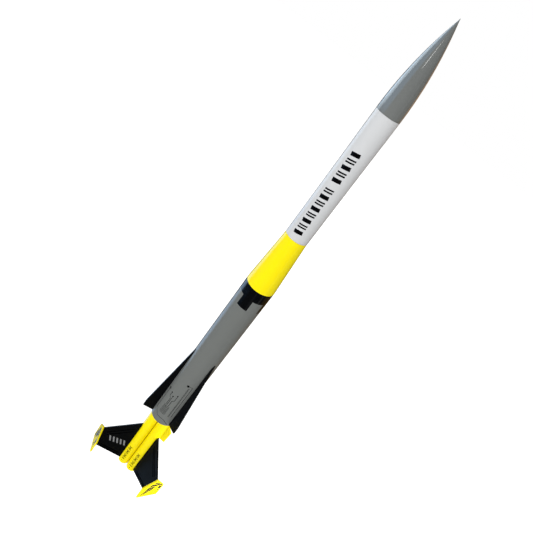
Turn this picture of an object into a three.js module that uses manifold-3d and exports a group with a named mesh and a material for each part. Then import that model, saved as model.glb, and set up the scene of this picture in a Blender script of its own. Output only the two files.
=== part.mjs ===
// Model rocket with a cluster of three motors: an airframe of paper tubes, a pull-off nose
// with its parachute, and three fins with tip plates. Millimetres, +Z towards the nose.
// The origin is on the centreline, in the plane of the motor tubes' aft ends, on which the
// rocket stands. One of the three fins points along +Y and the other two are 120 degrees apart.
import * as THREE from 'three';
import { mergeVertices } from 'three/addons/utils/BufferGeometryUtils.js';
import Module from 'manifold-3d';

// ---- driving dimensions -------------------------------------------------------------------
const GAP = 0.3; // between pieces that touch

const LOWER_TUBE = { radius: 22.4, wall: 0.7, length: 306, aft: 138 };
const UPPER_TUBE = { radius: 17, wall: 0.6, length: 195 };
const TRANSITION = { length: 92, land: 3, bore: 14.2, lowerShoulder: 25, upperShoulder: 20 };
const NOSE = { length: 124.5, shoulder: 38, wall: 1.6, tipRadius: 0.9, rows: 16 };
const NOSE_BASE = { thickness: 2.5, rim: 4 };
const SCREW_EYE = { ring: 3.4, wire: 0.9, shank: 9 };

const SET_COUNT = 3; // motors, fins, tip plates and strakes
const SET_ANGLES = [90, 210, 330].map((degrees) => THREE.MathUtils.degToRad(degrees));
const MOTOR_TUBE = { radius: 9.35, wall: 0.35, length: 214, spacing: 19 };
const CORE_ROD_RADIUS = 1.2;
const CASING = { radius: 8.7, wall: 2.4, length: 70, recess: 0.4 };
const NOZZLE = { length: 9, recess: 1.5, throat: 1.6, mouth: 3.6 };
const THRUST_RING = { wall: 1.8, length: 6 };
const CLUSTER_RING = { thickness: 3, aftInset: 0.5, forwardInset: 6, centre: 4.6 };

const FIN = { thickness: 2.4, rootAft: 2.5, rootFore: 101, tipAft: 12.5, tipFore: 58.5, tip: 72 };
const TIP_PLATE = { thickness: 2.6, apex: 60.7, shoulder: 40.8, aft: 12.5, shoulderHalf: 20.2, aftHalf: 19 };
const STRAKE = { thickness: 2.4, rootAft: 1.5, rootFore: 154, tipAft: 4, tipFore: 17, tip: 39.8 };
const LUG = { radius: 2.9, bore: 2.5, length: 50, angle: THREE.MathUtils.degToRad(150), aft: [12, 232] };

const CORD = { radius: 1.2, sides: 8 };
const CORD_COIL = { outer: 13.6, inner: 10.8, aft: 636, length: 18 };
const CORD_MOUNT = { inner: 14.2, aft: 658, length: 24, halfAngle: THREE.MathUtils.degToRad(32) };
const CHUTE = { radius: 12.5, length: 60, edge: 3 };
const WADDING = { radius: 14.6, length: 12, edge: 3 };

const FINE = 48; // sides of the body tubes and the nose
const COARSE = 32; // sides of the motor tubes and what is in them

// ---- places worked out from them ------------------------------------------------------------
const lowerTop = LOWER_TUBE.aft + LOWER_TUBE.length;
const upperAft = lowerTop + TRANSITION.length;
const upperTop = upperAft + UPPER_TUBE.length;
const noseTip = upperTop + NOSE.length;
const noseBottom = upperTop - NOSE.shoulder;
const lowerShoulderRadius = LOWER_TUBE.radius - LOWER_TUBE.wall - GAP;
const upperShoulderRadius = UPPER_TUBE.radius - UPPER_TUBE.wall - GAP;
const motorCircle = MOTOR_TUBE.spacing / Math.sqrt(3);
const finRoot = motorCircle + MOTOR_TUBE.radius + GAP;
const wadBottom = upperAft + TRANSITION.upperShoulder + 2;
const chuteBottom = wadBottom + WADDING.length + 2;
const eyeCentre = noseBottom - GAP - SCREW_EYE.ring - SCREW_EYE.wire;

// ---- materials --------------------------------------------------------------------------------
const paint = (color, roughness, metalness = 0) => new THREE.MeshStandardMaterial({ color, roughness, metalness });
const MATERIALS = {
  grey: paint(0x6e7371, 0.3),
  white: paint(0xd7d8da, 0.3),
  yellow: paint(0xfeec12, 0.35),
  black: paint(0x141516, 0.4),
  kraft: paint(0xa47b4e, 0.85),
  card: paint(0xc9b48c, 0.8),
  wood: paint(0xd2b07c, 0.7),
  clay: paint(0x8d8378, 0.9),
  steel: paint(0xb9bcc0, 0.3, 1),
  elastic: paint(0xe9e4da, 0.75),
  chute: paint(0xe0572a, 0.45),
  tissue: paint(0xdfe3dc, 0.9),
  plastic: paint(0xe4e2dc, 0.5),
};

// ---- solids -------------------------------------------------------------------------------------
const wasm = await Module();
wasm.setup();

function bare(geometry) {
  const copy = geometry.clone();
  copy.deleteAttribute('normal');
  copy.deleteAttribute('uv');
  return mergeVertices(copy, 1e-5);
}

function toSolid(geometry) {
  const merged = bare(geometry);
  const vertProperties = new Float32Array(merged.attributes.position.array);
  const triVerts = new Uint32Array(merged.index.array);
  return new wasm.Manifold(new wasm.Mesh({ numProp: 3, vertProperties, triVerts }));
}

function toGeometry(solid) {
  const mesh = solid.getMesh();
  const geometry = new THREE.BufferGeometry();
  geometry.setAttribute('position', new THREE.BufferAttribute(new Float32Array(mesh.vertProperties), 3));
  geometry.setIndex(new THREE.BufferAttribute(new Uint32Array(mesh.triVerts), 1));
  geometry.computeVertexNormals();
  return geometry;
}

// A closed profile of [radius, z] corners, turned about Z. It runs so that faces point out.
function turned(corners, sides) {
  const points = corners.map(([radius, z]) => new THREE.Vector2(radius, z));
  const closed = corners[0][0] === 0 ? points : [...points, points[0].clone()];
  return new THREE.LatheGeometry(closed, sides).rotateX(Math.PI / 2);
}

function tube(outer, inner, bottom, top, sides) {
  return turned([[inner, bottom], [outer, bottom], [outer, top], [inner, top]], sides);
}

function rod(radius, bottom, top, sides) {
  return turned([[0, bottom], [radius, bottom], [radius, top], [0, top]], sides);
}

function roundedRod(radius, bottom, top, edge, sides) {
  const corners = [[0, bottom], [radius - edge, bottom], [radius, bottom + edge]];
  corners.push([radius, top - edge], [radius - edge, top], [0, top]);
  return turned(corners, sides);
}

// A flat outline of [across, along] corners, as thick as given, about its middle plane.
function sheetPart(corners, thickness) {
  const shape = new THREE.Shape(corners.map(([across, along]) => new THREE.Vector2(across, along)));
  const depth = { depth: thickness, bevelEnabled: false };
  return new THREE.ExtrudeGeometry(shape, depth).translate(0, 0, -thickness / 2);
}

function alongCurve(curve, radius, sides, steps) {
  const section = new THREE.Shape();
  for (let side = 0; side < sides; side += 1) {
    const angle = (2 * Math.PI * side) / sides;
    const x = radius * Math.cos(angle);
    const y = radius * Math.sin(angle);
    if (side === 0) section.moveTo(x, y);
    else section.lineTo(x, y);
  }
  section.closePath();
  return new THREE.ExtrudeGeometry(section, { steps, bevelEnabled: false, extrudePath: curve });
}

// ---- the object ---------------------------------------------------------------------------------
const rocket = new THREE.Group();

function add(parent, name, geometry, material) {
  const mesh = new THREE.Mesh(geometry, MATERIALS[material]);
  mesh.name = name;
  parent.add(mesh);
  return mesh;
}

// ---- body tubes and transition --------------------------------------------------------------------
function bodyTubes() {
  const { radius, wall, aft } = LOWER_TUBE;
  add(rocket, 'lower_body_tube', tube(radius, radius - wall, aft, lowerTop, FINE), 'grey');
  const upperInner = UPPER_TUBE.radius - UPPER_TUBE.wall;
  add(rocket, 'upper_body_tube', tube(UPPER_TUBE.radius, upperInner, upperAft, upperTop, FINE), 'white');
}

function transition() {
  const { land, bore, lowerShoulder, upperShoulder } = TRANSITION;
  const corners = [
    [bore + 4.5, lowerTop - lowerShoulder],
    [lowerShoulderRadius, lowerTop - lowerShoulder],
    [lowerShoulderRadius, lowerTop + GAP],
    [LOWER_TUBE.radius, lowerTop + GAP],
    [LOWER_TUBE.radius, lowerTop + land],
    [UPPER_TUBE.radius, upperAft - land],
    [UPPER_TUBE.radius, upperAft - GAP],
    [upperShoulderRadius, upperAft - GAP],
    [upperShoulderRadius, upperAft + upperShoulder],
    [bore, upperAft + upperShoulder],
    [bore, upperAft - land],
    [bore + 4.5, lowerTop + land],
  ];
  add(rocket, 'transition', turned(corners, FINE), 'yellow');
}

// ---- nose: hollow shell, base plug and screw eye ----------------------------------------------------
// Tangent ogive: the radius at a height above the nose's base line.
function ogive(height) {
  const { length } = NOSE;
  const { radius } = UPPER_TUBE;
  const arc = (radius * radius + length * length) / (2 * radius);
  return Math.sqrt(arc * arc - height * height) + radius - arc;
}

function noseShell() {
  const base = upperTop + GAP;
  const corners = [[0, noseTip]];
  const usable = NOSE.length - NOSE.tipRadius * 3;
  for (let row = NOSE.rows; row >= 0; row -= 1) {
    const height = usable * Math.sin((Math.PI / 2) * (row / NOSE.rows));
    corners.push([Math.max(ogive(height), NOSE.tipRadius * 0.5), base + height]);
  }
  corners.push([upperShoulderRadius, base], [upperShoulderRadius, noseBottom]);
  const innerShoulder = upperShoulderRadius - NOSE.wall;
  corners.push([innerShoulder, noseBottom]);
  const innerRows = NOSE.rows / 2;
  const innerTop = NOSE.length * 0.84;
  for (let row = 0; row < innerRows; row += 1) {
    const height = (innerTop * row) / innerRows;
    corners.push([Math.min(innerShoulder, ogive(height) - NOSE.wall), base + height]);
  }
  corners.push([0, base + innerTop]);
  return turned(corners.reverse(), FINE);
}

function noseBasePlug() {
  const inner = upperShoulderRadius - NOSE.wall;
  const radius = inner - GAP;
  const top = noseBottom + NOSE_BASE.thickness;
  const hole = SCREW_EYE.wire + GAP;
  const corners = [[hole, noseBottom], [radius, noseBottom], [radius, top + NOSE_BASE.rim]];
  corners.push([radius - NOSE.wall, top + NOSE_BASE.rim], [radius - NOSE.wall, top], [hole, top]);
  return turned(corners, COARSE);
}

function screwEye() {
  const { ring, wire, shank } = SCREW_EYE;
  const ringSolid = toSolid(new THREE.TorusGeometry(ring, wire, 10, 28).rotateX(Math.PI / 2).translate(0, 0, eyeCentre));
  const shankSolid = toSolid(rod(wire, eyeCentre + ring, eyeCentre + ring + shank, 16));
  return toGeometry(ringSolid.add(shankSolid));
}

function nose() {
  add(rocket, 'nose_cone', noseShell(), 'grey');
  add(rocket, 'nose_base_plug', noseBasePlug(), 'plastic');
  add(rocket, 'screw_eye', screwEye(), 'steel');
}

// ---- motor cluster --------------------------------------------------------------------------------
function clusterRing(bottom) {
  let solid = toSolid(rod(lowerShoulderRadius, bottom, bottom + CLUSTER_RING.thickness, FINE));
  const overshoot = 1;
  const top = bottom + CLUSTER_RING.thickness + overshoot;
  solid = solid.subtract(toSolid(rod(CLUSTER_RING.centre, bottom - overshoot, top, COARSE)));
  for (const angle of SET_ANGLES) {
    const hole = rod(MOTOR_TUBE.radius + GAP, bottom - overshoot, top, COARSE);
    hole.translate(motorCircle * Math.cos(angle), motorCircle * Math.sin(angle), 0);
    solid = solid.subtract(toSolid(hole));
  }
  return toGeometry(solid);
}

function motorCluster() {
  const casingTop = CASING.recess + CASING.length;
  const casingInner = CASING.radius - CASING.wall;
  const fitted = casingInner - GAP;
  const nozzleTop = NOZZLE.recess + NOZZLE.length;
  const nozzleCorners = [[NOZZLE.mouth, NOZZLE.recess], [fitted, NOZZLE.recess], [fitted, nozzleTop]];
  nozzleCorners.push([NOZZLE.throat + 1.4, nozzleTop], [NOZZLE.throat, nozzleTop - 2.5]);
  nozzleCorners.push([NOZZLE.throat, NOZZLE.recess + 4]);
  const ringOuter = MOTOR_TUBE.radius - MOTOR_TUBE.wall - GAP;
  const ringBottom = casingTop + GAP;
  const ringTop = ringBottom + THRUST_RING.length;

  SET_ANGLES.forEach((angle, index) => {
    const number = index + 1;
    const place = new THREE.Group();
    place.position.set(motorCircle * Math.cos(angle), motorCircle * Math.sin(angle), 0);
    rocket.add(place);
    const { radius, wall, length } = MOTOR_TUBE;
    add(place, `motor_tube_${number}`, tube(radius, radius - wall, 0, length, COARSE), 'yellow');
    const ring = tube(ringOuter, ringOuter - THRUST_RING.wall, ringBottom, ringTop, COARSE);
    add(place, `thrust_ring_${number}`, ring, 'card');
    const casing = tube(CASING.radius, casingInner, CASING.recess, casingTop, COARSE);
    add(place, `motor_casing_${number}`, casing, 'kraft');
    add(place, `motor_nozzle_${number}`, turned(nozzleCorners, COARSE), 'clay');
  });
  add(rocket, 'cluster_core_rod', rod(CORE_ROD_RADIUS, 0, MOTOR_TUBE.length, 16), 'wood');
  const aftRing = LOWER_TUBE.aft + CLUSTER_RING.aftInset;
  const forwardRing = MOTOR_TUBE.length - CLUSTER_RING.forwardInset - CLUSTER_RING.thickness;
  add(rocket, 'aft_cluster_ring', clusterRing(aftRing), 'card');
  add(rocket, 'forward_cluster_ring', clusterRing(forwardRing), 'card');
}

// ---- fins, tip plates and strakes --------------------------------------------------------------------
function tailSurfaces() {
  const finOutline = [[finRoot, FIN.rootAft], [FIN.tip - GAP, FIN.tipAft]];
  finOutline.push([FIN.tip - GAP, FIN.tipFore], [finRoot, FIN.rootFore]);
  const strakeRoot = LOWER_TUBE.radius + GAP;
  const strakeOutline = [
    [strakeRoot, LOWER_TUBE.aft + STRAKE.rootAft],
    [STRAKE.tip, LOWER_TUBE.aft + STRAKE.tipAft],
    [STRAKE.tip, LOWER_TUBE.aft + STRAKE.tipFore],
    [strakeRoot + 0.4, LOWER_TUBE.aft + STRAKE.rootFore],
    [strakeRoot, LOWER_TUBE.aft + STRAKE.rootFore],
  ];
  const { apex, shoulder, aft, shoulderHalf, aftHalf } = TIP_PLATE;
  const plateOutline = [[-aftHalf, aft], [aftHalf, aft], [shoulderHalf, shoulder]];
  plateOutline.push([0, apex], [-shoulderHalf, shoulder]);

  SET_ANGLES.forEach((angle, index) => {
    const number = index + 1;
    const station = new THREE.Group(); // its local +X points straight out from the centreline
    station.rotation.z = angle;
    rocket.add(station);
    const fin = sheetPart(finOutline, FIN.thickness).rotateX(Math.PI / 2);
    add(station, `fin_${number}`, fin, 'black');
    const plate = sheetPart(plateOutline, TIP_PLATE.thickness).rotateX(Math.PI / 2).rotateZ(Math.PI / 2);
    plate.translate(FIN.tip + TIP_PLATE.thickness / 2, 0, 0);
    add(station, `tip_plate_${number}`, plate, 'yellow');
    const strake = sheetPart(strakeOutline, STRAKE.thickness).rotateX(Math.PI / 2);
    add(station, `strake_${number}`, strake, 'black');
  });
}

// ---- launch lugs -------------------------------------------------------------------------------------
function launchLugs() {
  const distance = LOWER_TUBE.radius + GAP + LUG.radius;
  LUG.aft.forEach((aft, index) => {
    const bottom = LOWER_TUBE.aft + aft;
    const lug = tube(LUG.radius, LUG.bore, bottom, bottom + LUG.length, 24);
    lug.translate(distance * Math.cos(LUG.angle), distance * Math.sin(LUG.angle), 0);
    add(rocket, index === 0 ? 'launch_lug_aft' : 'launch_lug_forward', lug, 'grey');
  });
}

// ---- recovery: wadding, parachute, shock cord and its anchor -------------------------------------------
function cordAnchor() {
  const outer = UPPER_TUBE.radius - UPPER_TUBE.wall - GAP;
  const steps = 8;
  const arc = (radius, from, to) => Array.from({ length: steps + 1 }, (_, step) => {
    const angle = Math.PI + from + ((to - from) * step) / steps;
    return [radius * Math.cos(angle), radius * Math.sin(angle)];
  });
  const { halfAngle, inner, length, aft } = CORD_MOUNT;
  const corners = [...arc(outer, -halfAngle, halfAngle), ...arc(inner, halfAngle, -halfAngle)];
  return sheetPart(corners, length).translate(0, 0, aft + length / 2);
}

function recovery() {
  const wadTop = wadBottom + WADDING.length;
  add(rocket, 'wadding', roundedRod(WADDING.radius, wadBottom, wadTop, WADDING.edge, COARSE), 'tissue');
  const chuteTop = chuteBottom + CHUTE.length;
  add(rocket, 'parachute', roundedRod(CHUTE.radius, chuteBottom, chuteTop, CHUTE.edge, COARSE), 'chute');
  add(rocket, 'shock_cord_mount', cordAnchor(), 'card');

  const coilTop = CORD_COIL.aft + CORD_COIL.length;
  add(rocket, 'shock_cord_coil', tube(CORD_COIL.outer, CORD_COIL.inner, CORD_COIL.aft, coilTop, COARSE), 'elastic');
  const coilRadius = (CORD_COIL.outer + CORD_COIL.inner) / 2;
  const leadStart = coilTop + GAP + 0.05;
  const leadEnd = eyeCentre - SCREW_EYE.ring - SCREW_EYE.wire - CORD.radius * 0.5 - GAP;
  const lead = new THREE.CatmullRomCurve3([
    new THREE.Vector3(0, -coilRadius, leadStart),
    new THREE.Vector3(0, -coilRadius + 0.5, leadStart + 4),
    new THREE.Vector3(0, -coilRadius * 0.6, leadStart + 11),
    new THREE.Vector3(0, -coilRadius * 0.15, leadEnd - 6),
    new THREE.Vector3(0, 0, leadEnd),
  ]);
  add(rocket, 'shock_cord_lead', alongCurve(lead, CORD.radius, CORD.sides, 14), 'elastic');
}

bodyTubes();
transition();
nose();
motorCluster();
tailSurfaces();
launchLugs();
recovery();

export default rocket;
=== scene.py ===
"""The looks of a model rocket with a cluster of three motors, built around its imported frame.

Lengths in this file are millimetres until a mesh is made, and metres after that. The rocket
stands along Z with its nose up, and its three sets of fin, plate and strake are 120 degrees
apart, the first along +Y.
"""

import math

import bmesh
import bpy
from mathutils import Matrix, Vector, noise


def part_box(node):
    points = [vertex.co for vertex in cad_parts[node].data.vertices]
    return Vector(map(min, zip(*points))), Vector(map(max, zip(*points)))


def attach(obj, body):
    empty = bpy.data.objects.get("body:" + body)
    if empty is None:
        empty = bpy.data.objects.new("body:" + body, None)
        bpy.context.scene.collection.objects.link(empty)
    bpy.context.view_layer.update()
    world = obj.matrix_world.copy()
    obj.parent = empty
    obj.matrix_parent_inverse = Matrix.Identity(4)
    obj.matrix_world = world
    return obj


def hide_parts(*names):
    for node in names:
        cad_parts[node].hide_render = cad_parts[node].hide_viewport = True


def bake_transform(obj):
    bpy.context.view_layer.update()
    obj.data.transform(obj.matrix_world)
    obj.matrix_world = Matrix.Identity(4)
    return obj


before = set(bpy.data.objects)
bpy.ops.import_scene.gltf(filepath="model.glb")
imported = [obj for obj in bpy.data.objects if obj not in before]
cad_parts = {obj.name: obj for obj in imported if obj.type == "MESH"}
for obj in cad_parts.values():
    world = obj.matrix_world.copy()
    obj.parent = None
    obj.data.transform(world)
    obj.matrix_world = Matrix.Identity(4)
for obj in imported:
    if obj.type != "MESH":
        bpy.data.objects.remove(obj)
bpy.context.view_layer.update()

bl_info = {
    "name": "Model Rocket",
    "version": (1, 0, 0),
    "blender": (4, 5, 0),
    "location": "View3D > Sidebar > Model Rocket",
    "description": "Builds a painted three-motor model rocket with its recovery gear",
    "category": "Add Mesh",
}

MM = 0.001
TURN = 2 * math.pi
FRONT = -90.0  # the side of the rocket that faces the camera, in degrees about Z
FLOOR = -0.085  # below the motors when they are drawn out, in metres


def lowest(node):
    return [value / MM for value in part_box(node)[0]]


def highest(node):
    return [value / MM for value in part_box(node)[1]]


LOWER_RADIUS = highest("lower_body_tube")[0]
LOWER_AFT = lowest("lower_body_tube")[2]
LOWER_TOP = highest("lower_body_tube")[2]
UPPER_RADIUS = highest("upper_body_tube")[0]
UPPER_AFT = lowest("upper_body_tube")[2]
UPPER_TOP = highest("upper_body_tube")[2]
NOSE_TIP = highest("nose_cone")[2]
NOSE_FOOT = lowest("nose_cone")[2]
EYE_RING, EYE_WIRE = 3.4, 0.9  # radius of the eye's ring and of its wire
EYE_CENTRE = lowest("screw_eye")[2] + EYE_RING + EYE_WIRE
MOTOR_AXIS = (highest("motor_tube_1")[1] + lowest("motor_tube_1")[1]) / 2
MOTOR_RADIUS = highest("motor_tube_1")[0]
MOTOR_TOP = highest("motor_tube_1")[2]
SETS = ((1, 90.0), (2, 210.0), (3, 330.0))
LOWER_WALL, UPPER_WALL, MOTOR_WALL = 0.7, 0.6, 0.35
UPPER_FIT = UPPER_RADIUS - 0.9  # shoulders that slide into the upper tube
LUG_RADIUS, LUG_BORE, LUG_AROUND = 2.9, 2.5, 150.0
HALF_BALSA = 1.2  # half the thickness of the fins and strakes
FIN_ROOT, FIN_TIP = 20.6, 72.0  # how far the fin's root and its tip stand from the axis
FIN_ROOT_AFT, FIN_ROOT_FORE = 2.5, 101.0
FIN_TIP_AFT, FIN_TIP_FORE = 12.5, 58.5
BAND_AFT = 426.5  # where the black band of the lower tube ends, and where its four tabs do
BAND_TAB_AFT = 408.3
BAND_TAB_HALF = 22.9


# ---- sizes and colours a user may change ----


def shade(name, about, colour):
    return bpy.props.FloatVectorProperty(
        name=name, description=about, default=colour, size=3, min=0.0, max=1.0, subtype="COLOR"
    )


def length(name, about, default):
    return bpy.props.FloatProperty(
        name=name, description=about, default=default * MM, min=0.0, unit="LENGTH", subtype="DISTANCE"
    )


class RocketColours(bpy.types.PropertyGroup):
    grey: shade("Grey nose paint", "Nose cone", (0.149, 0.156, 0.151))
    tube_grey: shade("Grey tube paint", "Lower tube and launch lugs", (0.143, 0.150, 0.143))
    white: shade("White paint", "Upper tube", (0.548, 0.553, 0.560))
    yellow: shade("Yellow paint", "Transition, motor tubes and tip plates", (0.885, 0.735, 0.002))
    black: shade("Black paint", "Fins, strakes and the band of the lower tube", (0.0018, 0.0021, 0.0026))
    trim: shade("Trim film", "Lines, dots and blocks laid over the paint", (0.0012, 0.0013, 0.0016))
    silver: shade("Silver film", "Bars on one face of each fin", (0.20, 0.205, 0.215))
    navy: shade("Navy film", "Blocks on the tip plates", (0.004, 0.006, 0.022))
    kraft: shade("Kraft paper", "Bare paper inside the tubes and the motor casings", (0.37, 0.21, 0.095))
    card: shade("Card", "Rings and the cord anchor", (0.56, 0.45, 0.29))
    birch: shade("Birch", "Rod between the motor tubes", (0.64, 0.46, 0.24))
    clay: shade("Clay", "Motor nozzles", (0.29, 0.26, 0.22))
    steel: shade("Steel", "Screw eye", (0.60, 0.61, 0.62))
    elastic: shade("Elastic", "Shock cord", (0.80, 0.76, 0.68))
    cloth: shade("Chute cloth", "Rolled parachute", (0.78, 0.11, 0.03))
    tissue: shade("Tissue", "Flameproof wadding", (0.72, 0.76, 0.70))
    plastic: shade("Bare plastic", "Unpainted shoulder of the nose", (0.76, 0.74, 0.69))


class RocketSizes(bpy.types.PropertyGroup):
    tube_edge: length("Tube edge", "Softening of the cut edges of the tubes", 0.18)
    panel_edge: length("Panel edge", "Sanded rounding along the fins and strakes", 0.8)
    plate_edge: length("Plate edge", "Rounding round the tip plates", 0.55)
    film: length("Film", "Height of the trim film above the paint", 0.05)
    bead: length("Glue bead", "Reach of the glue along each joint", 1.5)
    cord: length("Shock cord", "Diameter of the elastic shock cord", 2.4)
    sides: bpy.props.IntProperty(
        name="Sides", description="Sides of the round pieces", default=160, min=48, max=256
    )
    cord_turns: bpy.props.IntProperty(
        name="Cord turns", description="Turns of the packed shock cord", default=6, min=2, max=7
    )


def sizes():
    return bpy.context.scene.rocket_sizes


def size(name):
    """A size property, in millimetres."""
    return getattr(sizes(), name) / MM


def paint(name):
    """A colour property."""
    return tuple(getattr(bpy.context.scene.rocket_colours, name))


def scaled(colour, share):
    """The colour made darker or lighter, but no lighter than white."""
    return [min(1.0, part * share) for part in colour]


def polar(radius, angle):
    """A point of the ground plane at a distance from Z, at an angle in radians."""
    return radius * math.cos(angle), radius * math.sin(angle)


# ---- materials ----


class Wire:
    """One output of a node. Arithmetic on it adds Math nodes to its own tree."""

    def __init__(self, tree, socket):
        self.tree = tree
        self.socket = socket

    def __add__(self, other):
        return self.tree.math("ADD", self, other)

    def __sub__(self, other):
        return self.tree.math("SUBTRACT", self, other)

    def __rsub__(self, other):
        return self.tree.math("SUBTRACT", other, self)

    def __mul__(self, other):
        return self.tree.math("MULTIPLY", self, other)

    def __truediv__(self, other):
        return self.tree.math("DIVIDE", self, other)

    __radd__ = __add__
    __rmul__ = __mul__


class Tree:
    """A node tree with one way to add a node."""

    def __init__(self, nodes, links):
        self.nodes = nodes
        self.links = links

    def join(self, value, socket):
        if isinstance(value, Wire):
            self.links.new(value.socket, socket)
        elif hasattr(value, "__len__") and len(value) == 3 and socket.type == "RGBA":
            socket.default_value = (*value, 1.0)
        else:
            socket.default_value = value

    def node(self, kind, settings=None, sockets=None, output=0):
        made = self.nodes.new(kind)
        for key, value in (settings or {}).items():
            setattr(made, key, value)
        for key, value in (sockets or {}).items():
            self.join(value, made.inputs[key])
        return Wire(self, made.outputs[output])

    def math(self, operation, *values):
        return self.node("ShaderNodeMath", {"operation": operation}, dict(enumerate(values)))

    def mix(self, factor, first, second):
        """A colour that goes from the first to the second as the factor goes from 0 to 1."""
        return self.node("ShaderNodeMix", {"data_type": "RGBA"}, {0: factor, 6: first, 7: second}, 2)

    def rise(self, value, low, high):
        """0 below low, 1 above high, and smooth between them."""
        return self.node(
            "ShaderNodeMapRange",
            {"interpolation_type": "SMOOTHSTEP"},
            {"Value": value, "From Min": low, "From Max": high},
        )

    def split(self, vector):
        parts = self.node("ShaderNodeSeparateXYZ", None, {0: vector})
        outputs = parts.socket.node.outputs
        return [Wire(self, outputs[axis]) for axis in range(3)]

    def stretch(self, vector, scale, turn=0.0):
        """The vector turned about Z and scaled, for a grain that runs along an axis."""
        return self.node(
            "ShaderNodeMapping", None, {"Vector": vector, "Scale": scale, "Rotation": (0.0, turn, 0.0)}
        )

    def noise(self, vector, scale, detail=3.0, rough=0.55):
        sockets = {"Vector": vector, "Scale": scale, "Detail": detail, "Roughness": rough}
        return self.node("ShaderNodeTexNoise", None, sockets)


class Finish(Tree):
    """One material. Sizes in it are metres on the piece itself."""

    def __init__(self, name, **constants):
        self.material = bpy.data.materials.new(name)
        self.material.use_nodes = True
        made = self.material.node_tree
        super().__init__(made.nodes, made.links)
        self.shader = made.nodes["Principled BSDF"]
        for key, value in constants.items():
            self.join(value, self.shader.inputs[key.replace("_", " ").title().replace("Ior", "IOR")])
        self.place = self.node("ShaderNodeTexCoord", None, None, "Object")

    def feed(self, colour, roughness=None, height=None, depth=0.05, strength=1.0):
        """Joins the colour, the roughness and a bump that is depth millimetres deep."""
        self.join(colour, self.shader.inputs["Base Color"])
        if roughness is not None:
            self.join(roughness, self.shader.inputs["Roughness"])
        if height is not None:
            sockets = {"Strength": strength, "Distance": depth * MM, "Height": height}
            bump = self.node("ShaderNodeBump", None, sockets)
            self.join(bump, self.shader.inputs["Normal"])
        return self.material

    def vary(self, colour, amount, scale):
        """The colour a little lighter and darker in soft patches."""
        patches = self.noise(self.place, scale, 4.0)
        return self.mix(patches, scaled(colour, 1 - amount), scaled(colour, 1 + amount))


def gloss_coat(finish, colour, rough):
    """Sprayed gloss: soft cloudiness, a fine ripple in the skin and a little dust."""
    cloudy = finish.vary(colour, 0.025, 22.0)
    ripple = finish.noise(finish.place, 380.0, 2.0, 0.4)
    dust = finish.rise(finish.noise(finish.place, 2600.0, 1.0), 0.74, 0.80)
    roughness = rough + 0.05 * finish.noise(finish.place, 60.0) + 0.12 * dust
    return cloudy, roughness, ripple


def bare_paper(finish, colour, pitch=0.03):
    """Wound paper: fibres along the winding, and the dark line where its turns meet."""
    x, y, z = finish.split(finish.place)
    angle = finish.math("ARCTAN2", y, x)
    winding = z / pitch + angle / TURN
    along = finish.node("ShaderNodeCombineXYZ", None, {0: winding * 3.0, 1: angle * 0.4, 2: z * 8.0})
    fibre = finish.noise(along, 24.0, 6.0, 0.7)
    fleck = finish.rise(finish.noise(finish.place, 900.0, 2.0), 0.62, 0.72)
    seam = 1 - finish.rise(finish.math("PINGPONG", winding, 0.5), 0.0, 0.012)
    tone = finish.mix(fibre, scaled(colour, 0.82), scaled(colour, 1.15))
    tone = finish.mix(0.35 * fleck, tone, scaled(colour, 0.5))
    tone = finish.mix(0.5 * seam, tone, scaled(colour, 0.4))
    return tone, 0.78 + 0.15 * fibre, fibre - seam


def radius_of(finish):
    """Distance from the Z axis of the piece."""
    x, y, _ = finish.split(finish.place)
    return finish.math("SQRT", x * x + y * y)


def blend_finish(finish, mask, first, second, depth):
    """Two surfaces, each (colour, roughness, height), with the second where the mask is 1."""
    colour = finish.mix(mask, first[0], second[0])
    roughness = first[1] * (1 - mask) + second[1] * mask
    height = first[2] * (1 - mask) + second[2] * mask
    return finish.feed(colour, roughness, height, depth)


def painted_tube(name, colour, inner, gloss, banded=False):
    """Gloss paint outside a paper tube, perhaps with the black band, and bare paper inside it."""
    finish = Finish(name, coat_weight=gloss, coat_roughness=0.07, specular_ior_level=0.06)
    shown, roughness, ripple = gloss_coat(finish, colour, 0.26)
    x, y, z = finish.split(finish.place)
    angle = finish.math("ARCTAN2", y, x)
    winding = finish.math("PINGPONG", z / 0.062 + angle / TURN, 0.5)
    groove = 1 - finish.rise(winding, 0.0, 0.006)
    if banded:
        quarter = finish.math("PINGPONG", angle, math.pi / 4)
        tab = finish.rise(math.radians(BAND_TAB_HALF) - quarter, -0.004, 0.004)
        tab = tab * finish.rise(z, BAND_TAB_AFT * MM - 0.0001, BAND_TAB_AFT * MM + 0.0001)
        band = finish.rise(z, BAND_AFT * MM - 0.0001, BAND_AFT * MM + 0.0001)
        dark = finish.math("MAXIMUM", tab, band)
        shown = finish.mix(dark, shown, paint("black"))
        finish.join(gloss + 0.2 * dark, finish.shader.inputs["Coat Weight"])
    outside = (shown, roughness, 0.4 * ripple - groove)
    mask = finish.rise(inner * MM - radius_of(finish), -0.00005, 0.00005)
    return blend_finish(finish, mask, outside, bare_paper(finish, paint("kraft")), 0.012)


def two_part(name, colour, bare, edges, rough, gloss):
    """Gloss paint between two heights, and bare card or plastic on the shoulders outside them."""
    finish = Finish(name, coat_weight=gloss, coat_roughness=0.03, specular_ior_level=0.06)
    outside = gloss_coat(finish, colour, rough)
    z = finish.split(finish.place)[2]
    stray = 0.0012 * finish.noise(finish.place, 300.0)
    low, high = edges
    mask = 1 - finish.rise(z + stray, low * MM - 0.0004, low * MM + 0.0008)
    if high is not None:
        mask = mask + finish.rise(z - stray, high * MM - 0.0008, high * MM + 0.0004)
    grain = finish.noise(finish.place, 500.0 if bare == "plastic" else 160.0, 5.0)
    tone = finish.mix(grain, scaled(paint(bare), 0.9), paint(bare))
    return blend_finish(finish, mask, outside, (tone, 0.5 + 0.3 * grain, grain), 0.002)


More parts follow.
